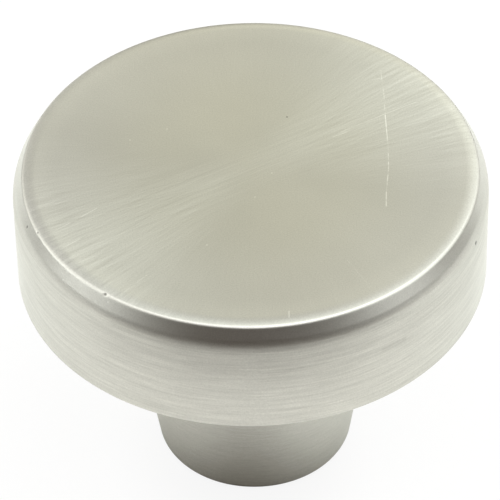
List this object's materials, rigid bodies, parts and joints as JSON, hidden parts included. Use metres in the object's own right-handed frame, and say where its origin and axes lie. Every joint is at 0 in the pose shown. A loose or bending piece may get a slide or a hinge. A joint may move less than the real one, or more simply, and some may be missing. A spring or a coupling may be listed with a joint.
{
  "type": "cabinet knob",
  "caption": "Round cabinet knob: a flat disc head with a bevelled shoulder on a tapering stem, tapped from the foot for a screw through a door or drawer front.",
  "frame": {"origin": "centre of the foot, in the plane that meets the door or drawer front", "axes": "+Z along the knob's turning axis, from the foot to the top of the head; +X and +Y lie in the foot's plane, and the body is the same all round"},
  "size_m": [0.0318, 0.0318, 0.024],
  "materials": {
    "satin_nickel": "brushed nickel plate, lines fanning out from the centre of the top and running round the rim and stem, with light wear"
  },
  "bodies": {
    "root": {"knob": "satin_nickel"}
  },
  "joints": []
}
